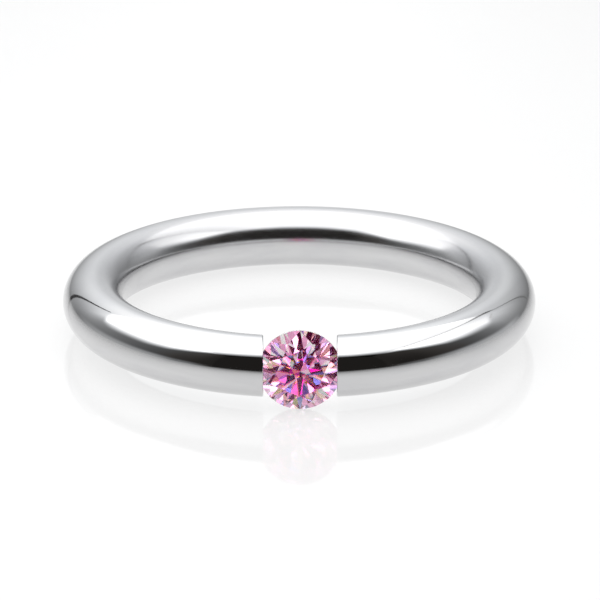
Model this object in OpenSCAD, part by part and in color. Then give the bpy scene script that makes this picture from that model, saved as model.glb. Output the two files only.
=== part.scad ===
// Ring of round polished wire, open at the front, with a round brilliant held under tension
// between its two flat ends. Millimetres, +Z up. The ring lies on the plane Z = 0 as it would
// by itself, on the back of the wire and on the stone's girdle, with the stone to the front.
// The origin is on that plane, below the centre of the ring.

/* [Band] */
// Inside diameter of the ring
inner_d = 17.6; // [15:0.1:22]
// Diameter of the round wire
wire_d = 3; // [2.9:0.1:3.6]
// Clear width between the two end faces
gap_w = 3.55; // [3.3:0.05:3.8]
// Width of the break on the rim of each end face
end_break = 0.08; // [0.03:0.01:0.15]

/* [Stone] */
// Diameter of the stone at its girdle
stone_d = 4; // [3.9:0.05:4.2]
// Width of the table across its corners, as a share of the stone's diameter
table_share = 0.58; // [0.52:0.01:0.64]
// Slope of the bezel facets, in degrees
crown_deg = 34.5; // [31:0.5:37]
// Reach of the star facets from the table's edge to the girdle, as a share
star_share = 0.52; // [0.45:0.01:0.6]
// Slope of the pavilion's main facets, in degrees
pavilion_deg = 40.8; // [39:0.2:42]
// Reach of the lower girdle facets from the girdle to the culet, as a share
lower_share = 0.78; // [0.7:0.01:0.85]
// Thickness of the girdle where it is thickest
girdle_t = 0.13; // [0.1:0.01:0.2]

/* [Seat] */
// How far the girdle lies outwards of the wire's centre line
girdle_out = 0.4; // [0.35:0.05:0.5]
// Clearance between the girdle and its groove
seat_gap = 0.02; // [0.01:0.005:0.05]
// Slope of the groove's two flanks, in degrees
seat_deg = 45; // [44:1:50]

/* [Hidden] */

// Centre line of the wire, and the stone's place on the ring
wire_r = wire_d / 2;
ring_r = inner_d / 2 + wire_r;
stone_r = stone_d / 2;
girdle_h = girdle_t / 2;
girdle_r = ring_r + girdle_out;

// Resting pose: the wire's back and the inner edge of the girdle both touch the plane
span_y = ring_r + girdle_r - girdle_h;
rest_tilt = atan2(stone_r, span_y) - asin(wire_r / norm([span_y, stone_r]));
centre_h = wire_r + ring_r * sin(rest_tilt);

// Facets of the brilliant: a main every 45 degrees, with the points between them half-way
mains = 8;
main_deg = 360 / mains;
half_deg = main_deg / 2;

// Each girdle facet's edge on the round girdle is cut into short chords
chords = 4;
rim_n = 2 * mains * chords;
rim_deg = 360 / rim_n;

// Radius of each ring of facet corners, measured from the stone's axis
table_r = table_share * stone_r;
table_flat_r = table_r * cos(half_deg);
star_r = table_flat_r + star_share * (stone_r - table_flat_r);
lower_r = (1 - lower_share) * stone_r;

// Height of each ring of facet corners above or below the girdle's middle
table_z = girdle_h + (stone_r - table_r) * tan(crown_deg);
star_z = girdle_h + (stone_r - star_r * cos(half_deg)) * tan(crown_deg);
lower_z = -girdle_h - (stone_r - lower_r * cos(half_deg)) * tan(pavilion_deg);
culet_z = -girdle_h - stone_r * tan(pavilion_deg);

// Slope of the upper and of the lower girdle facets, rise over run
upper_rise = (star_z - girdle_h) / ((stone_r - star_r) * cos(half_deg / 2));
lower_rise = (-lower_z - girdle_h) / ((stone_r - lower_r) * cos(half_deg / 2));

wire_facets = 96;

// Lays the upright ring down in its resting pose
module at_rest() {
    translate([0, 0, centre_h])
        rotate([-rest_tilt, 0, 0])
            children();
}

// Puts a shape whose axis is Z at the stone's place, with its top to the front
module at_seat() {
    translate([0, -girdle_r, 0])
        rotate([90, 0, 0])
            children();
}

// The straight slot between the ends
module gap_cutter() {
    slot_y = ring_r + wire_d;
    translate([-gap_w / 2, -slot_y, -wire_d])
        cube([gap_w, slot_y, 2 * wire_d]);
}

// The rim of one end face, on the side given as -1 or 1
module rim_cutter(side) {
    end_x = gap_w / 2;
    end_y = sqrt(ring_r * ring_r - end_x * end_x);
    translate([side * end_x, -end_y, 0])
        rotate([0, side * 90, 0])
            difference() {
                translate([0, 0, -end_break])
                    cylinder(h = 3 * end_break, r = wire_d, $fn = wire_facets);
                translate([0, 0, -2 * end_break])
                    cylinder(h = 5 * end_break, r1 = wire_r - 3 * end_break,
                             r2 = wire_r + 2 * end_break, $fn = wire_facets);
            }
}

// The girdle's groove in both ends: a round V with a flat bottom
module seat_cutter() {
    seat_r = stone_r + seat_gap;
    seat_h = girdle_h + seat_gap;
    flank_h = seat_r * tan(seat_deg);
    at_seat()
        rotate_extrude($fn = wire_facets)
            polygon([
                [0, -seat_h - flank_h],
                [seat_r, -seat_h],
                [seat_r, seat_h],
                [0, seat_h + flank_h],
            ]);
}

module band() {
    color("silver")
        at_rest()
            difference() {
                rotate_extrude($fn = wire_facets)
                    translate([ring_r, 0])
                        circle(d = wire_d, $fn = wire_facets);
                gap_cutter();
                for (side = [-1, 1])
                    rim_cutter(side);
                seat_cutter();
            }
}

// A point at a radius, an angle and a height about the stone's axis
function at(r, deg, z) = [r * cos(deg), r * sin(deg), z];

// How far a girdle facet bites into the girdle at rim point j
function bite(j, rise) =
    let (off = (j % chords - chords / 2) * rim_deg)
    rise * stone_r * (cos(off) - cos(half_deg / 2));

// Places of the corners in the list of points
function table_i(k) = k % mains;
function star_i(k) = mains + k % mains;
function upper_i(j) = 2 * mains + j % rim_n;
function under_i(j) = 2 * mains + rim_n + j % rim_n;
function lower_i(k) = 2 * mains + 2 * rim_n + k % mains;
culet_i = 3 * mains + 2 * rim_n;

// Rim points of one girdle facet, from half-main h to the next
function rim_run(h) = [for (j = [h * chords : (h + 1) * chords]) j];
function backwards(v) = [for (i = [len(v) - 1 : -1 : 0]) v[i]];

module stone() {
    points = concat(
        [for (k = [0 : mains - 1]) at(table_r, k * main_deg, table_z)],
        [for (k = [0 : mains - 1]) at(star_r, (k + 0.5) * main_deg, star_z)],
        [for (j = [0 : rim_n - 1]) at(stone_r, j * rim_deg, girdle_h - bite(j, upper_rise))],
        [for (j = [0 : rim_n - 1]) at(stone_r, j * rim_deg, bite(j, lower_rise) - girdle_h)],
        [for (k = [0 : mains - 1]) at(lower_r, (k + 0.5) * main_deg, lower_z)],
        [[0, 0, culet_z]]
    );
    table = [backwards([for (k = [0 : mains - 1]) table_i(k)])];
    stars = [for (k = [0 : mains - 1]) [table_i(k), table_i(k + 1), star_i(k)]];
    bezels = [
        for (k = [0 : mains - 1])
            [table_i(k), star_i(k), upper_i(2 * k * chords), star_i(k + mains - 1)]
    ];
    uppers = [
        for (h = [0 : 2 * mains - 1])
            concat([star_i(floor(h / 2))], backwards([for (j = rim_run(h)) upper_i(j)]))
    ];
    girdle = [
        for (j = [0 : rim_n - 1])
            [under_i(j), upper_i(j), upper_i(j + 1), under_i(j + 1)]
    ];
    lowers = [
        for (h = [0 : 2 * mains - 1])
            concat([lower_i(floor(h / 2))], [for (j = rim_run(h)) under_i(j)])
    ];
    pavilion = [
        for (k = [0 : mains - 1])
            [culet_i, lower_i(k + mains - 1), under_i(2 * k * chords), lower_i(k)]
    ];
    color([0.93, 0.45, 0.72])
        at_rest()
            at_seat()
                polyhedron(
                    points = points,
                    faces = concat(table, stars, bezels, uppers, girdle, lowers, pavilion)
                );
}

band();
stone();
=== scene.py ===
"""Dresses the tension set ring: a polished round wire band and the round brilliant held in its gap."""
import math

import bmesh
import bpy
from bpy.props import FloatProperty, FloatVectorProperty, IntProperty, PointerProperty
from mathutils import Matrix, Vector


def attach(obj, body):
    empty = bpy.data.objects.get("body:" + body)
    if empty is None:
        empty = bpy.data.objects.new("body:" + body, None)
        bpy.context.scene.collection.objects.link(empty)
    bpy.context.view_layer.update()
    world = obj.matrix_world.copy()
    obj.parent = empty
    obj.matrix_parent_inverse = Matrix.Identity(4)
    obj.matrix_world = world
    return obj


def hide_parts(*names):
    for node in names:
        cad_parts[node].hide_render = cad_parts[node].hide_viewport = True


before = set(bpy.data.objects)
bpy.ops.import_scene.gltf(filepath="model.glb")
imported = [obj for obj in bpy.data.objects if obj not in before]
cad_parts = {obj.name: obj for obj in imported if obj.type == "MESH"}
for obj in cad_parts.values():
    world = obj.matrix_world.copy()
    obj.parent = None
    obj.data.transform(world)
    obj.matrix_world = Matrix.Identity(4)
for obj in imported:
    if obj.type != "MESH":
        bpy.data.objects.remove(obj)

bl_info = {
    "name": "Tension Set Ring",
    "version": (1, 0, 0),
    "blender": (4, 5, 0),
    "location": "View3D > Sidebar > Ring",
    "description": "Builds a polished wire band with a round brilliant in its gap, and the studio around it",
    "category": "Object",
}

MM = 0.001
PICTURE_PX = 600.0


# Sizes and colours that a user would change

class RingBandSettings(bpy.types.PropertyGroup):
    inner_diameter: FloatProperty(
        name="Inside diameter", description="Diameter of the finger that the ring fits",
        default=17.6 * MM, unit="LENGTH", precision=5)
    wire_diameter: FloatProperty(
        name="Wire diameter", description="Thickness of the round wire",
        default=3.0 * MM, unit="LENGTH", precision=5)
    gap_width: FloatProperty(
        name="Gap", description="Clear width between the two end faces",
        default=3.55 * MM, unit="LENGTH", precision=5)
    edge_radius: FloatProperty(
        name="Edge radius", description="Polished radius on the rim of each end face",
        default=0.08 * MM, unit="LENGTH", precision=5)
    seat_clearance: FloatProperty(
        name="Seat clearance", description="Room between the girdle and its groove",
        default=0.02 * MM, unit="LENGTH", precision=5)
    steps_along: IntProperty(
        name="Steps along", description="Columns of faces along the wire", default=420, min=60)
    steps_around: IntProperty(
        name="Steps around", description="Faces around the wire", default=112, min=24)


class RingStoneSettings(bpy.types.PropertyGroup):
    diameter: FloatProperty(
        name="Diameter", description="Diameter of the stone at its girdle",
        default=4.0 * MM, unit="LENGTH", precision=5)
    table_share: FloatProperty(
        name="Table", description="Width of the table across its corners, as a share of the diameter",
        default=0.58, subtype="FACTOR")
    crown_angle: FloatProperty(
        name="Crown angle", description="Slope of the bezel facets",
        default=math.radians(34.5), subtype="ANGLE")
    star_share: FloatProperty(
        name="Star length", description="Reach of the star facets from the table's edge to the girdle",
        default=0.52, subtype="FACTOR")
    pavilion_angle: FloatProperty(
        name="Pavilion angle", description="Slope of the pavilion's main facets",
        default=math.radians(40.8), subtype="ANGLE")
    lower_share: FloatProperty(
        name="Lower facets", description="Reach of the lower girdle facets from the girdle to the culet",
        default=0.78, subtype="FACTOR")
    girdle_thickness: FloatProperty(
        name="Girdle", description="Thickness of the girdle where it is thickest",
        default=0.13 * MM, unit="LENGTH", precision=5)
    girdle_out: FloatProperty(
        name="Girdle offset", description="How far the girdle lies outwards of the wire's centre line",
        default=0.4 * MM, unit="LENGTH", precision=5)
    warm_tint: FloatVectorProperty(
        name="Warm fire", description="Colour of the light that bends least in the stone",
        default=(1.0, 0.0, 0.27), size=3, subtype="COLOR", min=0.0, max=1.0)
    body_tint: FloatVectorProperty(
        name="Golden fire", description="Colour of the light between the warm and the cold fire",
        default=(1.0, 0.46, 0.004), size=3, subtype="COLOR", min=0.0, max=1.0)
    cold_tint: FloatVectorProperty(
        name="Cold fire", description="Colour of the light that bends most in the stone",
        default=(0.04, 0.12, 1.0), size=3, subtype="COLOR", min=0.0, max=1.0)
    rim_pale: FloatProperty(
        name="Pale rim", description="How much paler the fire is at the girdle than in the middle",
        default=0.3, subtype="FACTOR", min=0.0, max=1.0)
    light_lean: FloatProperty(
        name="Light lean", description="Turn of the light that enters, which brings the star to the middle",
        default=math.radians(10), subtype="ANGLE")


class RingFinishSettings(bpy.types.PropertyGroup):
    steel_bright: FloatVectorProperty(
        name="Bright steel", description="Colour of the polished steel",
        default=(0.61, 0.61, 0.615), size=3, subtype="COLOR", min=0.0, max=1.0)
    steel_deep: FloatVectorProperty(
        name="Deep steel", description="Colour of the steel between the polishing marks",
        default=(0.58, 0.58, 0.59), size=3, subtype="COLOR", min=0.0, max=1.0)
    # A darker colour painted on the inner upper shoulder: painted shade
    steel_shoulder_shade: FloatVectorProperty(
        name="Shaded shoulder steel", description="Darker colour painted on the inner upper shoulder as shade",
        default=(0.47, 0.47, 0.48), size=3, subtype="COLOR", min=0.0, max=1.0)


class RingStudioSettings(bpy.types.PropertyGroup):
    focal_px: FloatProperty(
        name="Focal length", description="Focal length in pixels of a 600 pixel wide picture",
        default=5911.82)
    distance: FloatProperty(
        name="Camera distance", description="From the camera to the ring's centre",
        default=295.4 * MM, unit="LENGTH")
    elevation: FloatProperty(
        name="Camera elevation", description="Height of the camera above the floor, as an angle",
        default=math.radians(19.977), subtype="ANGLE")
    azimuth: FloatProperty(
        name="Camera azimuth", description="Turn of the camera about the ring, to the left of the front",
        default=math.radians(0.25), subtype="ANGLE")
    roll: FloatProperty(
        name="Camera roll", description="Turn of the camera about its own axis",
        default=0.001712, subtype="ANGLE")
    panel_light: FloatProperty(
        name="Overhead light", description="Brightness of the large panel above the ring", default=2.3)
    floor_light: FloatProperty(
        name="Floor light", description="Light that comes up through the floor", default=0.84)
    floor_radius: FloatProperty(
        name="Floor radius", description="Half the width of the floor", default=1.5, unit="LENGTH")
    lamp_scale: FloatProperty(
        name="Lamp pattern", description="Fineness of the lamps that the stone gathers light from",
        default=8.0)
    lamp_turn: FloatVectorProperty(
        name="Lamp turn", description="Turn of the pattern of lamps about the three axes",
        default=(4.242, 0.911, 2.259), size=3, subtype="EULER")
    lamp_gaps: FloatVectorProperty(
        name="Gaps", description="Light between the lamps",
        default=(0.07, 0.006, 0.03), size=3, subtype="COLOR", min=0.0, max=10.0)
    lamp_soft: FloatVectorProperty(
        name="Soft lamps", description="Light of the soft lamps",
        default=(0.98, 1.02, 0.97), size=3, subtype="COLOR", min=0.0, max=10.0)
    lamp_pale: FloatVectorProperty(
        name="Pale lamps", description="Light of the lamps that make the stone look pale",
        default=(1.05, 2.2, 1.38), size=3, subtype="COLOR", min=0.0, max=10.0)
    lamp_spark: FloatVectorProperty(
        name="Strong lamps", description="Light of the few strong lamps",
        default=(4.3, 4.3, 4.0), size=3, subtype="COLOR", min=0.0, max=10.0)
    lamp_cuts: FloatVectorProperty(
        name="Shares", description="Where the soft, pale and strong lamps begin, as shares of the room",
        default=(0.44, 0.7, 0.87), size=3, subtype="XYZ", min=0.0, max=1.0)


# Node trees

class Graph:
    """Adds nodes to a tree and joins them."""

    def __init__(self, tree):
        self.tree = tree

    def node(self, kind, **settings):
        made = self.tree.nodes.new(kind)
        for name, value in settings.items():
            setattr(made, name, value)
        return made

    def feed(self, socket, value):
        if isinstance(value, bpy.types.NodeSocket):
            self.tree.links.new(value, socket)
        else:
            socket.default_value = value

    def math(self, operation, *values):
        made = self.node("ShaderNodeMath", operation=operation)
        for socket, value in zip(made.inputs, values):
            self.feed(socket, value)
        return made.outputs[0]

    def add(self, a, b):
        return self.math("ADD", a, b)

    def sub(self, a, b):
        return self.math("SUBTRACT", a, b)

    def mul(self, a, b):
        return self.math("MULTIPLY", a, b)

    def div(self, a, b):
        return self.math("DIVIDE", a, b)

    def clamp(self, value, low=0.0, high=1.0):
        return self.math("MINIMUM", self.math("MAXIMUM", value, low), high)

    def ease(self, value, low, high):
        """0 at low, 1 at high, with a soft start and end."""
        made = self.node("ShaderNodeMapRange", interpolation_type="SMOOTHSTEP")
        self.feed(made.inputs["Value"], value)
        self.feed(made.inputs["From Min"], low)
        self.feed(made.inputs["From Max"], high)
        return made.outputs["Result"]

    def split(self, vector):
        made = self.node("ShaderNodeSeparateXYZ")
        self.feed(made.inputs[0], vector)
        return made.outputs

    def join(self, x, y, z):
        made = self.node("ShaderNodeCombineXYZ")
        for socket, value in zip(made.inputs, (x, y, z)):
            self.feed(socket, value)
        return made.outputs[0]

    def blend(self, fac, a, b):
        """Mixes two colours."""
        made = self.node("ShaderNodeMix", data_type="RGBA")
        self.feed(made.inputs[0], fac)
        self.feed(made.inputs[6], a)
        self.feed(made.inputs[7], b)
        return made.outputs[2]

    def noise(self, vector, scale, detail=2.0, w=None):
        made = self.node("ShaderNodeTexNoise", noise_dimensions="3D" if w is None else "4D")
        self.feed(made.inputs["Vector"], vector)
        made.inputs["Scale"].default_value = scale
        made.inputs["Detail"].default_value = detail
        if w is not None:
            self.feed(made.inputs["W"], w)
        return made.outputs["Fac"]


def new_group(name, inputs, outputs, kind="ShaderNodeTree"):
    """A node group with named sockets, each given as name, type and default."""
    tree = bpy.data.node_groups.new(name, kind)
    for way, sockets in (("INPUT", inputs), ("OUTPUT", outputs)):
        for label, socket_type, default in sockets:
            made = tree.interface.new_socket(name=label, in_out=way, socket_type=socket_type)
            if default is not None:
                made.default_value = default
    graph = Graph(tree)
    start = graph.node("NodeGroupInput")
    end = graph.node("NodeGroupOutput")
    return tree, graph, start.outputs, end.inputs


def new_material(name):
    """An empty material with nodes, its graph and its output's surface socket."""
    made = bpy.data.materials.new(name)
    made.use_nodes = True
    made.node_tree.nodes.clear()
    graph = Graph(made.node_tree)
    end = graph.node("ShaderNodeOutputMaterial")
    return made, graph, end.inputs


def rgba(colour, alpha=1.0):
    return (colour[0], colour[1], colour[2], alpha)


# The ring lying down: on the back of its wire and on the stone's girdle

def rest_sizes():
    """Radii of the ring in metres, its lean and the height of its centre, as the solids have them."""
    band = bpy.context.scene.ring_band
    stone = bpy.context.scene.ring_stone
    wire_r = band.wire_diameter / 2
    ring_r = band.inner_diameter / 2 + wire_r
    stone_r = stone.diameter / 2
    girdle_h = stone.girdle_thickness / 2
    girdle_r = ring_r + stone.girdle_out
    span_y = ring_r + girdle_r - girdle_h
    lean = math.atan2(stone_r, span_y) - math.asin(wire_r / math.hypot(span_y, stone_r))
    centre_h = wire_r + ring_r * math.sin(lean)
    return wire_r, ring_r, stone_r, girdle_h, girdle_r, lean, centre_h


def rest_matrix():
    lean, centre_h = rest_sizes()[5:]
    return Matrix.Translation((0, 0, centre_h)) @ Matrix.Rotation(-lean, 4, "X")


def seat_matrix():
    """Puts a shape whose axis is Z at the stone's place, with its top to the front."""
    girdle_r = rest_sizes()[4]
    return rest_matrix() @ Matrix.Translation((0, -girdle_r, 0)) @ Matrix.Rotation(math.pi / 2, 4, "X")


def link(name, mesh):
    made = bpy.data.objects.new(name, mesh)
    bpy.context.scene.collection.objects.link(made)
    return made


# Band

EDGE_STEPS = 8
CAP_STEPS = 2
CAP_INSET = 0.96
SEAT_FACES = 128
MERGE_DISTANCE = 1e-7
SHARP_ANGLE = math.radians(30)


def band_tree():
    """The wire as one sheet of columns: end face, rounded rim, wire, rounded rim, end face."""
    tree, g, given, out = new_group("Wire band", [
        ("Ring Radius", "NodeSocketFloat", 0.0103),
        ("Wire Radius", "NodeSocketFloat", 0.0015),
        ("Gap Width", "NodeSocketFloat", 0.00355),
        ("Edge Radius", "NodeSocketFloat", 0.00008),
        ("Columns", "NodeSocketInt", 420),
        ("Rows", "NodeSocketInt", 112),
        ("Seat Radius", "NodeSocketFloat", 0.00202),
        ("Seat Half Height", "NodeSocketFloat", 0.000085),
        ("Seat Distance", "NodeSocketFloat", 0.0107),
        ("Lean", "NodeSocketFloat", 0.0239),
        ("Centre Height", "NodeSocketFloat", 0.0017457),
        ("Finish", "NodeSocketMaterial", None),
    ], [("Geometry", "NodeSocketGeometry", None)], "GeometryNodeTree")

    # A flat sheet whose x counts the columns and whose y goes once around the wire
    sheet = g.node("GeometryNodeMeshGrid")
    for socket, value in zip(sheet.inputs, (1.0, 1.0, given["Columns"], g.add(given["Rows"], 1))):
        g.feed(socket, value)
    place = g.split(g.node("GeometryNodeInputPosition").outputs[0])
    last = g.sub(given["Columns"], 1)
    column = g.math("ROUND", g.mul(g.add(place[0], 0.5), last))
    near_end = g.math("MINIMUM", column, g.sub(last, column))
    around = g.mul(g.add(place[1], 0.5), 2 * math.pi)

    # Radius of the column, and how far it stands back from the end face
    turn = g.mul(g.clamp(g.div(g.sub(near_end, CAP_STEPS), EDGE_STEPS)), math.pi / 2)
    edge = given["Edge Radius"]
    full = g.add(g.sub(given["Wire Radius"], edge), g.mul(edge, g.math("SINE", turn)))
    on_rim = g.math("GREATER_THAN", near_end, CAP_STEPS - 0.5)
    on_inset = g.math("COMPARE", near_end, 1.0, 0.5)
    radius = g.mul(full, g.add(on_rim, g.mul(on_inset, CAP_INSET)))
    back = g.mul(edge, g.sub(1.0, g.math("COSINE", turn)))

    # Angle about the ring's axis, from one end face round the back to the other
    rho = g.add(given["Ring Radius"], g.mul(radius, g.math("COSINE", around)))
    end_x = g.add(g.div(given["Gap Width"], 2), back)
    start = g.math("ARCSINE", g.div(end_x, rho))
    skip = CAP_STEPS + EDGE_STEPS
    share = g.clamp(g.div(g.sub(column, skip), g.sub(last, 2 * skip)))
    sweep = g.mul(share, g.sub(2 * math.pi, g.mul(start, 2)))
    angle = g.add(start, sweep)
    wire = g.node("GeometryNodeSetPosition")
    g.feed(wire.inputs["Geometry"], sheet.outputs["Mesh"])
    g.feed(wire.inputs["Position"], g.join(
        g.mul(rho, g.math("SINE", angle)),
        g.mul(g.mul(rho, g.math("COSINE", angle)), -1.0),
        g.mul(radius, g.math("SINE", around))))

    # The girdle's groove: a double cone with a flat band between, about the stone's axis
    lathe = g.node("GeometryNodeMeshGrid")
    for socket, value in zip(lathe.inputs, (1.0, 1.0, 4, SEAT_FACES + 1)):
        g.feed(socket, value)
    spot = g.mul(place[0], 3.0)
    inner = g.math("LESS_THAN", g.math("ABSOLUTE", spot), 1.0)
    seat_r = g.mul(given["Seat Radius"], inner)
    cone_h = g.mul(given["Seat Radius"], g.sub(1.0, inner))
    seat_h = g.mul(g.math("SIGN", spot), g.add(given["Seat Half Height"], cone_h))
    cutter = g.node("GeometryNodeSetPosition")
    g.feed(cutter.inputs["Geometry"], lathe.outputs["Mesh"])
    g.feed(cutter.inputs["Position"], g.join(
        g.mul(seat_r, g.math("COSINE", around)),
        g.sub(seat_h, given["Seat Distance"]),
        g.mul(seat_r, g.math("SINE", around))))

    solids = []
    for part in (wire, cutter):
        merged = g.node("GeometryNodeMergeByDistance")
        g.feed(merged.inputs["Geometry"], part.outputs[0])
        merged.inputs["Distance"].default_value = MERGE_DISTANCE
        solids.append(merged.outputs[0])
    cut = g.node("GeometryNodeMeshBoolean", operation="DIFFERENCE", solver="EXACT")
    g.feed(cut.inputs["Mesh 1"], solids[0])
    g.feed(cut.inputs["Mesh 2"], solids[1])

    # Lay it down, smooth all but the sharp edges, and give it its finish
    laid = g.node("GeometryNodeTransform")
    g.feed(laid.inputs["Geometry"], cut.outputs["Mesh"])
    g.feed(laid.inputs["Translation"], g.join(0.0, 0.0, given["Centre Height"]))
    g.feed(laid.inputs["Rotation"], g.join(g.mul(given["Lean"], -1.0), 0.0, 0.0))
    soft = g.node("GeometryNodeSetShadeSmooth", domain="FACE")
    g.feed(soft.inputs[0], laid.outputs[0])
    crisp = g.node("GeometryNodeSetShadeSmooth", domain="EDGE")
    g.feed(crisp.inputs[0], soft.outputs[0])
    bend = g.node("GeometryNodeInputMeshEdgeAngle").outputs["Unsigned Angle"]
    g.feed(crisp.inputs["Selection"], g.math("GREATER_THAN", bend, SHARP_ANGLE))
    crisp.inputs["Shade Smooth"].default_value = False
    real = g.node("GeometryNodeRealizeInstances")
    g.feed(real.inputs[0], crisp.outputs[0])
    dressed = g.node("GeometryNodeSetMaterial")
    g.feed(dressed.inputs["Geometry"], real.outputs[0])
    g.feed(dressed.inputs["Material"], given["Finish"])
    g.feed(out[0], dressed.outputs[0])
    return tree


def bake_tree(name, tree, values):
    """Runs a geometry tree on an empty object and keeps its result as a plain mesh."""
    holder = link(name, bpy.data.meshes.new(name + "_start"))
    modifier = holder.modifiers.new("shape", "NODES")
    modifier.node_group = tree
    for item in tree.interface.items_tree:
        if item.in_out == "INPUT" and item.name in values:
            modifier[item.identifier] = values[item.name]
    depsgraph = bpy.context.evaluated_depsgraph_get()
    mesh = bpy.data.meshes.new_from_object(holder.evaluated_get(depsgraph))
    mesh.name = name
    holder.modifiers.remove(modifier)
    holder.data = mesh
    return holder


class RING_OT_band(bpy.types.Operator):
    """Makes the wire band from its settings and lays it in its resting pose"""
    bl_idname = "ring.make_band"
    bl_label = "Make Band"

    def execute(self, context):
        band = context.scene.ring_band
        wire_r, ring_r, stone_r, girdle_h, girdle_r, lean, centre_h = rest_sizes()
        piece = bake_tree("wire_band", band_tree(), {
            "Ring Radius": ring_r,
            "Wire Radius": wire_r,
            "Gap Width": band.gap_width,
            "Edge Radius": band.edge_radius,
            "Columns": band.steps_along,
            "Rows": band.steps_around,
            "Seat Radius": stone_r + band.seat_clearance,
            "Seat Half Height": girdle_h + band.seat_clearance,
            "Seat Distance": girdle_r,
            "Lean": lean,
            "Centre Height": centre_h,
            "Finish": steel_material(),
        })
        face_outwards(piece.data)
        if len(piece.data.polygons) < band.steps_around * band.steps_along / 2:
            raise RuntimeError("the band's mesh is missing faces")
        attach(piece, "root")
        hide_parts("band")
        return {"FINISHED"}


def face_outwards(mesh):
    """Turns a closed mesh the right way out."""
    shape = bmesh.new()
    shape.from_mesh(mesh)
    if shape.calc_volume(signed=True) < 0:
        bmesh.ops.reverse_faces(shape, faces=shape.faces)
        shape.to_mesh(mesh)
    shape.free()


# Stone

MAINS = 8
CHORDS = 8


def stone_mesh(stone):
    """A round brilliant about Z: table, stars, bezels, upper facets, girdle, lower facets, pavilion."""
    stone_r, girdle_h = rest_sizes()[2:4]
    half = math.pi / MAINS
    rim_n = 2 * MAINS * CHORDS
    slope = math.tan(stone.crown_angle)
    depth = math.tan(stone.pavilion_angle)
    table_r = stone.table_share * stone_r
    table_flat = table_r * math.cos(half)
    star_r = table_flat + stone.star_share * (stone_r - table_flat)
    lower_r = (1 - stone.lower_share) * stone_r
    table_z = girdle_h + (stone_r - table_r) * slope
    star_z = girdle_h + (stone_r - star_r * math.cos(half)) * slope
    lower_z = -girdle_h - (stone_r - lower_r * math.cos(half)) * depth
    culet_z = -girdle_h - stone_r * depth
    upper_rise = (star_z - girdle_h) / ((stone_r - star_r) * math.cos(half / 2))
    lower_rise = (-lower_z - girdle_h) / ((stone_r - lower_r) * math.cos(half / 2))

    def bite(j, rise):
        """How far a girdle facet bites into the girdle at rim point j."""
        off = (j % CHORDS - CHORDS / 2) * 2 * math.pi / rim_n
        return rise * stone_r * (math.cos(off) - math.cos(half / 2))

    shape = bmesh.new()

    def ring(count, radius, height, turn=0.0):
        points = []
        for k in range(count):
            angle = (k + turn) * 2 * math.pi / count
            z = height(k) if callable(height) else height
            points.append(shape.verts.new((radius * math.cos(angle), radius * math.sin(angle), z)))
        return points

    table = ring(MAINS, table_r, table_z)
    star = ring(MAINS, star_r, star_z, 0.5)
    upper = ring(rim_n, stone_r, lambda j: girdle_h - bite(j, upper_rise))
    under = ring(rim_n, stone_r, lambda j: bite(j, lower_rise) - girdle_h)
    lower = ring(MAINS, lower_r, lower_z, 0.5)
    culet = shape.verts.new((0, 0, culet_z))

    def facet(points, material=0):
        made = shape.faces.new(points)
        made.material_index = material
        return made

    facet(table)
    for k in range(MAINS):
        main = 2 * k * CHORDS
        after = (k + 1) % MAINS
        facet([table[k], star[k], table[after]])
        facet([table[k], star[k - 1], upper[main], star[k]])
        facet([culet, lower[k], under[main], lower[k - 1]])
    for h in range(2 * MAINS):
        run = [j % rim_n for j in range(h * CHORDS, (h + 1) * CHORDS + 1)]
        facet([star[h // 2]] + [upper[j] for j in run])
        facet([lower[h // 2]] + [under[j] for j in reversed(run)])
    for j in range(rim_n):
        after = (j + 1) % rim_n
        facet([under[j], under[after], upper[after], upper[j]], 1).smooth = True

    bmesh.ops.recalc_face_normals(shape, faces=shape.faces)
    shape.transform(seat_matrix())
    mesh = bpy.data.meshes.new("brilliant")
    shape.to_mesh(mesh)
    shape.free()
    return mesh


class RING_OT_stone(bpy.types.Operator):
    """Makes the round brilliant and sets it in the band's gap"""
    bl_idname = "ring.make_stone"
    bl_label = "Make Stone"

    def execute(self, context):
        piece = link("brilliant", stone_mesh(context.scene.ring_stone))
        piece.data.materials.append(gem_material())
        piece.data.materials.append(girdle_material())
        face_outwards(piece.data)
        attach(piece, "root")
        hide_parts("stone")
        return {"FINISHED"}


# Finishes

# The marks of polishing: how far they are drawn out along the wire, and how fine they are
MARK_STRETCH = 0.35
BROAD_STRETCH = 6.0
FINE_SCALE = 42.0
BROAD_SCALE = 2.2
RIM_WIDTH = 0.22 * MM
# Roughness of the steel's mirror, and what haze, marks, worn rims and the satin inner side add to it
MIRROR_ROUGHNESS = 0.04
HAZE_ROUGHNESS = 0.02
MARKS_ROUGHNESS = 0.012
RIM_ROUGHNESS = 0.06
SATIN_ROUGHNESS = 0.12
STEEL_BUMP = 0.012
FROST_BUMP = 0.3
BUMP_DEPTH = 0.01 * MM


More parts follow.
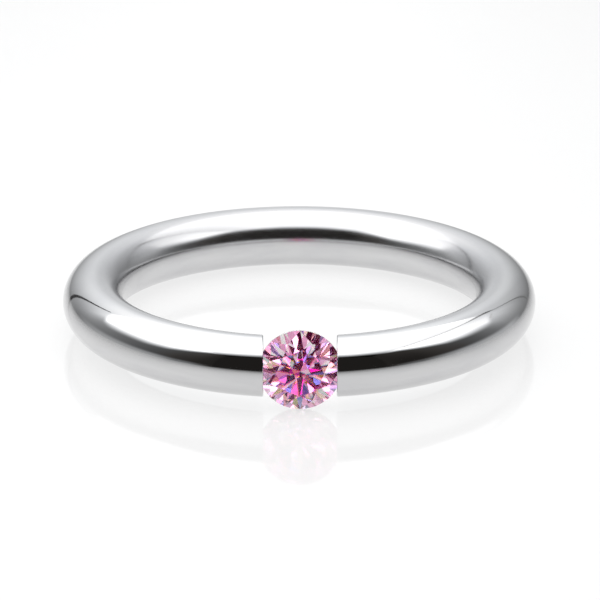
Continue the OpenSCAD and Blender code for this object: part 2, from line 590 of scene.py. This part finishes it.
def wire_marks_group():
    """Fine marks that run along the wire, and where they lie: from object coordinates, without a seam."""
    tree, g, given, out = new_group("Wire marks", [
        ("Vector", "NodeSocketVector", None),
        ("Ring Radius", "NodeSocketFloat", 0.0103),
        ("Wire Radius", "NodeSocketFloat", 0.0015),
        ("Half Gap", "NodeSocketFloat", 0.001775),
    ], [
        ("Marks", "NodeSocketFloat", None),
        ("Haze", "NodeSocketFloat", None),
        ("Rim", "NodeSocketFloat", None),
        ("Satin", "NodeSocketFloat", None),
        ("Shoulder Shade", "NodeSocketFloat", None),
    ])
    x, y, z = g.split(given["Vector"])
    rho = g.math("SQRT", g.add(g.mul(x, x), g.mul(y, y)))
    across = g.div(g.sub(rho, given["Ring Radius"]), given["Wire Radius"])
    height = g.div(z, given["Wire Radius"])
    # Along the wire everything is drawn out, so the marks run with it
    long_x = g.mul(g.div(x, rho), MARK_STRETCH)
    long_y = g.mul(g.div(y, rho), MARK_STRETCH)
    fine = g.noise(g.join(across, height, long_x), FINE_SCALE, 3.0, long_y)
    broad_place = g.join(across, height, g.mul(long_x, BROAD_STRETCH))
    broad = g.noise(broad_place, BROAD_SCALE, 2.0, g.mul(long_y, BROAD_STRETCH))
    g.feed(out["Marks"], fine)
    g.feed(out["Haze"], g.ease(broad, 0.35, 0.7))
    # The rims of the two ends, where hands and cloths wear the polish
    rim_end = g.add(given["Half Gap"], RIM_WIDTH)
    at_end = g.sub(1.0, g.ease(g.math("ABSOLUTE", x), given["Half Gap"], rim_end))
    in_front = g.math("LESS_THAN", y, 0.0)
    g.feed(out["Rim"], g.mul(at_end, in_front))
    # The inner side, where a wheel reaches least, and its upper shoulder, where a darker tone is painted as
    # shade
    inner = g.ease(across, 0.04, -0.3)
    g.feed(out["Satin"], inner)
    g.feed(out["Shoulder Shade"], g.mul(inner, g.ease(height, 0.45, 0.65)))
    return tree


def steel_material():
    """Polished stainless steel: a mirror with the faintest marks of the polishing wheel."""
    finish = bpy.context.scene.ring_finish
    wire_r, ring_r = rest_sizes()[:2]
    made, g, end = new_material("polished_steel")
    turned_back = g.node("ShaderNodeMapping", vector_type="TEXTURE")
    lean, centre_h = rest_sizes()[5:]
    turned_back.inputs["Location"].default_value = (0, 0, centre_h)
    turned_back.inputs["Rotation"].default_value = (-lean, 0, 0)
    g.feed(turned_back.inputs["Vector"], g.node("ShaderNodeTexCoord").outputs["Object"])
    marks = g.node("ShaderNodeGroup", node_tree=wire_marks_group())
    g.feed(marks.inputs["Vector"], turned_back.outputs[0])
    marks.inputs["Ring Radius"].default_value = ring_r
    marks.inputs["Wire Radius"].default_value = wire_r
    marks.inputs["Half Gap"].default_value = bpy.context.scene.ring_band.gap_width / 2
    steel = g.node("ShaderNodeBsdfPrincipled")
    mirror = g.blend(marks.outputs["Haze"], rgba(finish.steel_bright), rgba(finish.steel_deep))
    # Painted shade: the inner upper shoulder takes a darker base colour
    g.feed(steel.inputs["Base Color"], g.blend(marks.outputs["Shoulder Shade"], mirror, rgba(finish.steel_shoulder_shade)))
    steel.inputs["Metallic"].default_value = 1.0
    roughness = MIRROR_ROUGHNESS
    for mask, rise in (("Haze", HAZE_ROUGHNESS), ("Marks", MARKS_ROUGHNESS),
                       ("Rim", RIM_ROUGHNESS), ("Satin", SATIN_ROUGHNESS)):
        roughness = g.add(roughness, g.mul(marks.outputs[mask], rise))
    g.feed(steel.inputs["Roughness"], roughness)
    bump = g.node("ShaderNodeBump")
    bump.inputs["Strength"].default_value = STEEL_BUMP
    bump.inputs["Distance"].default_value = BUMP_DEPTH
    g.feed(bump.inputs["Height"], marks.outputs["Marks"])
    g.feed(steel.inputs["Normal"], bump.outputs[0])
    g.feed(end["Surface"], steel.outputs[0])
    return made


def glass(g, colour, ior, roughness=0.0):
    made = g.node("ShaderNodeBsdfPrincipled")
    g.feed(made.inputs["Base Color"], colour)
    made.inputs["Roughness"].default_value = roughness
    made.inputs["IOR"].default_value = ior
    made.inputs["Transmission Weight"].default_value = 1.0
    return made


# How much each colour of fire is bent in the stone
WARM_IOR = 2.07
BODY_IOR = 2.18
COLD_IOR = 2.31
# What the fire turns to where the stone is pale, and how much is left of it where the stone is deep
RIM_GREY = 0.62
DEEP_SHARE = 0.93
# The places, as shares of the stone's radius, between which it turns pale
PALE_FROM = 0.5
PALE_TO = 0.85
ZONE_SCALE = 900.0
OUTER_SHINE = 0.08
INSIDE_TINT = (1.0, 0.97, 0.99)
BODY_COLOUR = (0.96, 0.52, 0.82)
BODY_DENSITY = 180.0
GRAIN_SCALE = 9000.0
GRAIN_PALE = (0.98, 0.78, 0.9)
GRAIN_DEEP = (0.9, 0.66, 0.82)
GRAIN_ROUGHNESS = 0.35


def gem_material():
    """Pink stone with fire: light going in is bent by colour, and inside it runs clear."""
    stone = bpy.context.scene.ring_stone
    made, g, end = new_material("pink_brilliant")
    inside = glass(g, rgba(INSIDE_TINT), BODY_IOR)
    place = g.node("ShaderNodeTexCoord").outputs["Object"]
    zone = g.ease(g.noise(place, ZONE_SCALE, 1.0), 0.35, 0.65)
    upright = g.node("ShaderNodeMapping", vector_type="TEXTURE")
    upright.inputs["Location"].default_value = seat_matrix().translation
    upright.inputs["Rotation"].default_value = seat_matrix().to_euler()
    g.feed(upright.inputs["Vector"], place)
    x, y, _ = g.split(upright.outputs[0])
    from_axis = g.div(g.math("SQRT", g.add(g.mul(x, x), g.mul(y, y))), rest_sizes()[2])
    rim = g.ease(from_axis, PALE_FROM, PALE_TO)
    surface = g.node("ShaderNodeNewGeometry")
    leant = g.node("ShaderNodeVectorRotate", rotation_type="X_AXIS")
    g.feed(leant.inputs["Vector"], surface.outputs["Normal"])
    leant.inputs["Angle"].default_value = stone.light_lean
    mixed = None
    lobes = (
        (stone.body_tint, BODY_IOR, 0.0),
        (stone.warm_tint, WARM_IOR, 0.5),
        (stone.cold_tint, COLD_IOR, 1.0 / 3.0),
    )
    for tint, ior, share in lobes:
        deep = [DEEP_SHARE * c for c in tint]
        pale = [c + stone.rim_pale * (RIM_GREY - c) for c in tint]
        lobe = glass(g, g.blend(rim, g.blend(zone, rgba(tint), rgba(deep)), rgba(pale)), ior)
        lobe.inputs["Specular Tint"].default_value = rgba([OUTER_SHINE] * 3)
        g.feed(lobe.inputs["Normal"], leant.outputs[0])
        if mixed is None:
            mixed = lobe.outputs[0]
            continue
        mix = g.node("ShaderNodeMixShader")
        mix.inputs[0].default_value = share
        g.feed(mix.inputs[1], mixed)
        g.feed(mix.inputs[2], lobe.outputs[0])
        mixed = mix.outputs[0]
    sides = g.node("ShaderNodeMixShader")
    g.feed(sides.inputs[0], surface.outputs["Backfacing"])
    g.feed(sides.inputs[1], mixed)
    g.feed(sides.inputs[2], inside.outputs[0])
    g.feed(end["Surface"], sides.outputs[0])
    body = g.node("ShaderNodeVolumeAbsorption")
    body.inputs["Color"].default_value = rgba(BODY_COLOUR)
    body.inputs["Density"].default_value = BODY_DENSITY
    g.feed(end["Volume"], body.outputs[0])
    return made


def girdle_material():
    """The ground edge of the stone: finely frosted."""
    made, g, end = new_material("ground_girdle")
    place = g.node("ShaderNodeTexCoord").outputs["Object"]
    grain = g.noise(place, GRAIN_SCALE, 2.0)
    colour = g.blend(grain, rgba(GRAIN_PALE), rgba(GRAIN_DEEP))
    frosted = glass(g, colour, BODY_IOR, GRAIN_ROUGHNESS)
    bump = g.node("ShaderNodeBump")
    bump.inputs["Strength"].default_value = FROST_BUMP
    bump.inputs["Distance"].default_value = BUMP_DEPTH
    g.feed(bump.inputs["Height"], grain)
    g.feed(frosted.inputs["Normal"], bump.outputs[0])
    g.feed(end["Surface"], frosted.outputs[0])
    return made


# Studio

FLOOR_MATT = (0.16, 0.16, 0.16)
FLOOR_IOR = 1.36
FLOOR_ROUGHNESS = 0.07
# The shares of mirrored light between which the floor's gloss is cut for a low camera, and how much of it
TENT_SHOWS = (0.19, 0.32)
TENT_CUT = 0.85


def fresnel_gloss(g, under, ior, roughness):
    """Lays a clear gloss over a shader: it takes over at low angles, as on acrylic."""
    gloss = g.node("ShaderNodeBsdfGlossy")
    gloss.inputs["Roughness"].default_value = roughness
    angle = g.node("ShaderNodeFresnel")
    angle.inputs["IOR"].default_value = ior
    # Seen from very low, the floor shows the tent less
    seen = g.node("ShaderNodeLightPath").outputs["Is Camera Ray"]
    low = g.mul(g.ease(angle.outputs[0], *TENT_SHOWS), seen)
    mix = g.node("ShaderNodeMixShader")
    g.feed(mix.inputs[0], g.mul(angle.outputs[0], g.sub(1.0, g.mul(low, TENT_CUT))))
    g.feed(mix.inputs[1], under)
    g.feed(mix.inputs[2], gloss.outputs[0])
    return mix.outputs[0]


def floor_material(light):
    """Pale acrylic sheet, lit a little from below."""
    made, g, end = new_material("pale_floor")
    matt = g.node("ShaderNodeBsdfDiffuse")
    matt.inputs["Color"].default_value = rgba(FLOOR_MATT)
    glow = g.node("ShaderNodeEmission")
    glow.inputs["Strength"].default_value = light
    under = g.node("ShaderNodeAddShader")
    g.feed(under.inputs[0], matt.outputs[0])
    g.feed(under.inputs[1], glow.outputs[0])
    g.feed(end["Surface"], fresnel_gloss(g, under.outputs[0], FLOOR_IOR, FLOOR_ROUGHNESS))
    return made


# The tent's light: white where bright, a little cool where dim, warm in the darkest places
WHITE = (1.0, 1.0, 1.0)
COOL_SHADE = (0.985, 1.0, 1.015)
WARM_SHADE = (1.1, 1.0, 0.93)
# The light at which the warm shade has turned cool, and the cool one white
COOL_LIGHT = (0.03, 0.12)
WHITE_LIGHT = (1.2, 1.7)


def tent_material():
    """Lit cloth that shines to the inside of the tent and is clear from outside."""
    made, g, end = new_material("tent_cloth")
    light = g.node("ShaderNodeEmission")
    glow = g.node("ShaderNodeAttribute", attribute_name="glow").outputs["Fac"]
    shade = g.blend(g.ease(glow, *COOL_LIGHT), rgba(WARM_SHADE), rgba(COOL_SHADE))
    g.feed(light.inputs["Color"], g.blend(g.ease(glow, *WHITE_LIGHT), shade, rgba(WHITE)))
    g.feed(light.inputs["Strength"], glow)
    clear = g.node("ShaderNodeBsdfTransparent")
    sides = g.node("ShaderNodeMixShader")
    g.feed(sides.inputs[0], g.node("ShaderNodeNewGeometry").outputs["Backfacing"])
    g.feed(sides.inputs[1], light.outputs[0])
    g.feed(sides.inputs[2], clear.outputs[0])
    g.feed(end["Surface"], sides.outputs[0])
    return made


def ease(value, low, high):
    """0 at low, 1 at high, with a soft start and end."""
    share = min(max((value - low) / (high - low), 0.0), 1.0)
    return share * share * (3 - 2 * share)


def between(value, points):
    """Reads a line of (place, height) points, in order of place."""
    if value <= points[0][0]:
        return points[0][1]
    for (a, low), (b, high) in zip(points, points[1:]):
        if value <= b:
            return low + (high - low) * (value - a) / (b - a)
    return points[-1][1]


# The tent in millimetres: half width, front edge, back wall and ceiling
TENT_X = 71.0
TENT_FRONT = -86.0
TENT_BACK = 96.0
TENT_TOP = 95.0
TENT_STEP = 2.5
# Half the depth over which the ceiling's front edge fades, and how much dimmer its right corner is
CEILING_FADE = 22
CORNER_DIM = 0.3
CORNER_FROM = 30
# Where the ceiling's light ends at the front, by x
CEILING_FRONT = ((-71, -58), (-40, -62), (0, -65), (40, -62), (71, -53))
# A side wall by y: the height at which it turns bright, how soft that edge is, the light above it, just
# below it, further down, and what the floor adds at the foot
LEFT_WALL = {
    "edge": ((-80, 110), (-60, 89), (-45, 65), (-30, 46), (-15, 39), (15, 36), (30, 38), (50, 56), (96, 92)),
    "soft": ((20, 15), (34, 3)),
    "full": ((40, 2.3), (96, 1.6)),
    "high": ((-50, 0.1), (0, 0.2), (15, 0.35), (30, 0.55), (50, 1.3)),
    "low": ((-75, 0.02), (-45, 0.045), (-15, 0.13), (0, 0.2), (30, 0.27), (50, 0.27), (96, 0.42)),
    "foot": ((-45, 0.2), (-30, 0.36), (15, 0.25), (50, 0.0)),
}
RIGHT_WALL = {
    "edge": ((-80, 115), (-45, 84), (-30, 63), (-15, 47), (0, 42), (15, 41), (30, 43), (50, 59), (96, 90)),
    "soft": ((20, 15), (34, 3)),
    "full": ((0, 2.2), (30, 1.8), (50, 1.6), (70, 1.3), (96, 1.1)),
    "high": ((-50, 0.05), (0, 0.13), (15, 0.3), (30, 0.75), (50, 1.1), (70, 1.15), (96, 0.9)),
    "low": ((-75, 0.015), (-45, 0.02), (-15, 0.06), (0, 0.13), (30, 0.28), (96, 0.26)),
    "foot": ((-45, 0.15), (-15, 0.45), (30, 0.35), (50, 0.0)),
}
# The back wall's light by x, as a share
BACK_SHARE = ((-71, 0.68), (-45, 0.86), (-25, 1.0), (-8, 1.02), (8, 0.96), (25, 0.82), (45, 0.58), (71, 0.48))


def ceiling_glow(x, y, full):
    edge = between(x, CEILING_FRONT)
    corner = 1 - CORNER_DIM * ease(x, CORNER_FROM, TENT_X)
    return full * corner * ease(y, edge - CEILING_FADE, edge + CEILING_FADE)


def side_glow(y, z, wall):
    edge = between(y, wall["edge"])
    soft = between(y, wall["soft"])
    low = between(y, wall["low"])
    dim = low + max(between(y, wall["high"]) - low, 0) * min(z / edge, 1) ** 1.5
    dim += between(y, wall["foot"]) * (1 - ease(z, 2, 12))
    dim = 0.025 + (dim - 0.025) * ease(y, TENT_FRONT, -55)
    lit = ease(z, edge - 0.8 * soft, edge + 1.2 * soft) * ease(y, TENT_FRONT, TENT_FRONT + 18)
    return dim * (1 - lit) + between(y, wall["full"]) * lit


def back_glow(x, z):
    foot = 0.3 * math.exp(-(x / 14) ** 2) * (1 - ease(z, 10, 32))
    return min((0.44 + 0.0166 * z) * between(x, BACK_SHARE) + foot, 1.9)


def tent_wall(shape, layer, corner, across, along, glow):
    """A grid of faces from a corner, over two edge vectors, in millimetres."""
    count_a = round(across.length / TENT_STEP)
    count_b = round(along.length / TENT_STEP)
    rows = []
    for a in range(count_a + 1):
        row = []
        for b in range(count_b + 1):
            place = corner + across * (a / count_a) + along * (b / count_b)
            point = shape.verts.new(place * MM)
            point[layer] = glow(place)
            row.append(point)
        rows.append(row)
    for first, second in zip(rows, rows[1:]):
        for b in range(count_b):
            shape.faces.new((first[b], second[b], second[b + 1], first[b + 1]))


def make_tent(full):
    """The tent around the ring: ceiling, two sides and back, open at the front."""
    shape = bmesh.new()
    layer = shape.verts.layers.float.new("glow")
    deep = Vector((0, TENT_BACK - TENT_FRONT, 0))
    wide = Vector((2 * TENT_X, 0, 0))
    high = Vector((0, 0, TENT_TOP))
    left_front = Vector((-TENT_X, TENT_FRONT, 0))
    tent_wall(shape, layer, left_front + high, deep, wide, lambda p: ceiling_glow(p.x, p.y, full))
    tent_wall(shape, layer, left_front, deep, high, lambda p: side_glow(p.y, p.z, LEFT_WALL))
    tent_wall(shape, layer, left_front + wide, high, deep, lambda p: side_glow(p.y, p.z, RIGHT_WALL))
    tent_wall(shape, layer, left_front + deep, wide, high, lambda p: back_glow(p.x, p.z))
    mesh = bpy.data.meshes.new("light_tent")
    shape.to_mesh(mesh)
    shape.free()
    mesh.materials.append(tent_material())
    tent = link("light_tent", mesh)
    tent.visible_camera = False
    tent.visible_transmission = False


# Seams and panel edges of the tent: points with half width, all in millimetres, and light
SEAMS = (
    ((-70, 88.5, 0, 2.6, 0.05), (-70, 88.5, 60, 2.4, 0.07), (-70, 88.5, 80, 1.9, 0.2)),
    ((69.5, 86, 3, 1.0, 0.22), (69.5, 87, 26, 1.0, 0.22), (69.5, 92, 52, 1.0, 0.25),
     (69.5, 93.5, 88, 1.0, 0.2)),
    ((66, 94, 82, 3.6, 0.1), (67, 90, 89, 3.0, 0.4), (68.5, 65, 93, 0.9, 0.62), (68.5, -30, 93, 0.8, 0.76)),
    ((70.5, 72, 69, 0.8, 0.85), (70.5, 49, 56, 0.8, 0.85), (70.5, 38, 48, 0.6, 1.0)),
)


def make_seams():
    shape = bmesh.new()
    layer = shape.verts.layers.float.new("glow")
    for seam in SEAMS:
        run = (Vector(seam[-1][:3]) - Vector(seam[0][:3])).normalized()
        out = run.orthogonal().normalized()
        other = run.cross(out)
        rings = []
        for x, y, z, half, light in seam:
            corners = ((out + other), (out - other), (-out - other), (other - out))
            points = [shape.verts.new((Vector((x, y, z)) + corner * half) * MM) for corner in corners]
            for point in points:
                point[layer] = light
            rings.append(points)
        for low, high in zip(rings, rings[1:]):
            for k in range(4):
                after = (k + 1) % 4
                shape.faces.new((low[k], low[after], high[after], high[k]))
    bmesh.ops.recalc_face_normals(shape, faces=shape.faces)
    mesh = bpy.data.meshes.new("tent_seams")
    shape.to_mesh(mesh)
    shape.free()
    made, g, end = new_material("seam_cloth")
    light = g.node("ShaderNodeEmission")
    g.feed(light.inputs["Strength"], g.node("ShaderNodeAttribute", attribute_name="glow").outputs["Fac"])
    g.feed(end["Surface"], light.outputs[0])
    mesh.materials.append(made)
    seams = link("tent_seams", mesh)
    seams.visible_camera = False
    seams.visible_transmission = False
    seams.visible_diffuse = False
    seams.visible_shadow = False


def lamp_light(g, way, studio):
    """What the stone gathers its light from: small lamps all round, with dark gaps between them."""
    turned = g.node("ShaderNodeMapping")
    turned.inputs["Rotation"].default_value = studio.lamp_turn
    g.feed(turned.inputs["Vector"], way)
    cells = g.node("ShaderNodeTexVoronoi")
    g.feed(cells.inputs["Vector"], turned.outputs[0])
    cells.inputs["Scale"].default_value = studio.lamp_scale
    draw = g.split(cells.outputs["Color"])[0]
    light = rgba(studio.lamp_gaps)
    for kind, cut in zip((studio.lamp_soft, studio.lamp_pale, studio.lamp_spark), studio.lamp_cuts):
        light = g.blend(g.math("GREATER_THAN", draw, cut), light, rgba(kind))
    return light


# The room's light in front of the tent's opening, low down elsewhere, and what is added high up
ROOM_FRONT = 0.018
ROOM_LOW = 0.42
ROOM_RISE = 0.48


def set_world(studio):
    """The room around the tent: dark in front of its opening, pale elsewhere and to the eye."""
    world = bpy.data.worlds.new("room")
    world.use_nodes = True
    world.node_tree.nodes.clear()
    g = Graph(world.node_tree)
    way = g.node("ShaderNodeTexCoord").outputs["Generated"]
    x, y, z = g.split(way)
    azimuth = g.mul(g.math("ABSOLUTE", g.math("ARCTAN2", x, g.mul(y, -1.0))), 180 / math.pi)
    elevation = g.mul(g.math("ARCSINE", z), 180 / math.pi)
    away = g.math("MAXIMUM", g.ease(azimuth, 65.0, 85.0), g.ease(elevation, 60.0, 75.0))
    pale = g.add(ROOM_LOW, g.mul(g.ease(elevation, 15.0, 50.0), ROOM_RISE))
    level = g.add(g.mul(g.sub(1.0, away), ROOM_FRONT), g.mul(away, pale))
    ray = g.node("ShaderNodeLightPath")
    shown = None
    white = rgba(WHITE)
    for strength, colour, used in (
            (level, g.blend(away, rgba(WARM_SHADE), white), None),
            (1.0, lamp_light(g, way, studio), ray.outputs["Is Transmission Ray"]),
            (1.0, white, ray.outputs["Is Camera Ray"])):
        light = g.node("ShaderNodeBackground")
        g.feed(light.inputs["Color"], colour)
        g.feed(light.inputs["Strength"], strength)
        if shown is None:
            shown = light.outputs[0]
            continue
        both = g.node("ShaderNodeMixShader")
        g.feed(both.inputs[0], used)
        g.feed(both.inputs[1], shown)
        g.feed(both.inputs[2], light.outputs[0])
        shown = both.outputs[0]
    end = g.node("ShaderNodeOutputWorld")
    g.feed(end.inputs["Surface"], shown)
    bpy.context.scene.world = world


# The camera's sensor in millimetres and its shift in pixels of the picture
SENSOR_WIDTH = 36.0
SHIFT_PX = (0.774, -1.143)


def set_camera(studio):
    centre = Vector((0, 0, rest_sizes()[6]))
    level = studio.distance * math.cos(studio.elevation)
    place = centre + Vector((
        -level * math.sin(studio.azimuth),
        -level * math.cos(studio.azimuth),
        studio.distance * math.sin(studio.elevation)))
    ahead = (centre - place).normalized()
    side = ahead.cross(Vector((0, 0, 1))).normalized()
    up = side.cross(ahead)
    cos, sin = math.cos(studio.roll), math.sin(studio.roll)
    side, up = side * cos + up * sin, up * cos - side * sin
    data = bpy.data.cameras.new("camera")
    data.sensor_width = SENSOR_WIDTH
    data.lens = studio.focal_px / PICTURE_PX * data.sensor_width
    data.shift_x = SHIFT_PX[0] / PICTURE_PX
    data.shift_y = SHIFT_PX[1] / PICTURE_PX
    data.clip_start = 0.01
    data.clip_end = 10.0
    camera = link("camera", data)
    turn = Matrix((side, up, -ahead)).transposed()
    camera.matrix_world = Matrix.Translation(place) @ turn.to_4x4()
    bpy.context.scene.camera = camera


class RING_OT_studio(bpy.types.Operator):
    """Sets the floor, the light tent and the camera"""
    bl_idname = "ring.make_studio"
    bl_label = "Make Studio"

    def execute(self, context):
        studio = context.scene.ring_studio
        shape = bmesh.new()
        bmesh.ops.create_grid(shape, x_segments=8, y_segments=8, size=studio.floor_radius)
        mesh = bpy.data.meshes.new("floor")
        shape.to_mesh(mesh)
        shape.free()
        floor = link("floor", mesh)
        mesh.materials.append(floor_material(studio.floor_light))
        floor.visible_transmission = False
        make_tent(studio.panel_light)
        make_seams()
        set_world(studio)
        set_camera(studio)
        scene = context.scene
        scene.view_settings.view_transform = "Standard"
        scene.cycles.max_bounces = 24
        scene.cycles.glossy_bounces = 16
        scene.cycles.transmission_bounces = 16
        scene.cycles.sampling_pattern = "TABULATED_SOBOL"
        return {"FINISHED"}


class RING_PT_parts(bpy.types.Panel):
    """Lists the ring's settings and the steps that build it"""
    bl_label = "Tension Set Ring"
    bl_space_type = "VIEW_3D"
    bl_region_type = "UI"
    bl_category = "Ring"

    def draw(self, context):
        for step in STEPS:
            self.layout.operator(step.bl_idname)
        for name in SETTINGS:
            group = getattr(context.scene, name)
            box = self.layout.box()
            for field in group.__annotations__:
                box.prop(group, field)


SETTINGS = {
    "ring_band": RingBandSettings,
    "ring_stone": RingStoneSettings,
    "ring_finish": RingFinishSettings,
    "ring_studio": RingStudioSettings,
}
STEPS = (RING_OT_studio, RING_OT_band, RING_OT_stone)


def register():
    for kind in (*SETTINGS.values(), *STEPS, RING_PT_parts):
        bpy.utils.register_class(kind)
    for name, kind in SETTINGS.items():
        setattr(bpy.types.Scene, name, PointerProperty(type=kind))


def unregister():
    for name in SETTINGS:
        delattr(bpy.types.Scene, name)
    for kind in (RING_PT_parts, *STEPS, *SETTINGS.values()):
        bpy.utils.unregister_class(kind)


def main():
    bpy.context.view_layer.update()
    register()
    bpy.ops.ring.make_studio()
    bpy.ops.ring.make_band()
    bpy.ops.ring.make_stone()
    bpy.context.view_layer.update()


if __name__ == "__main__":
    main()
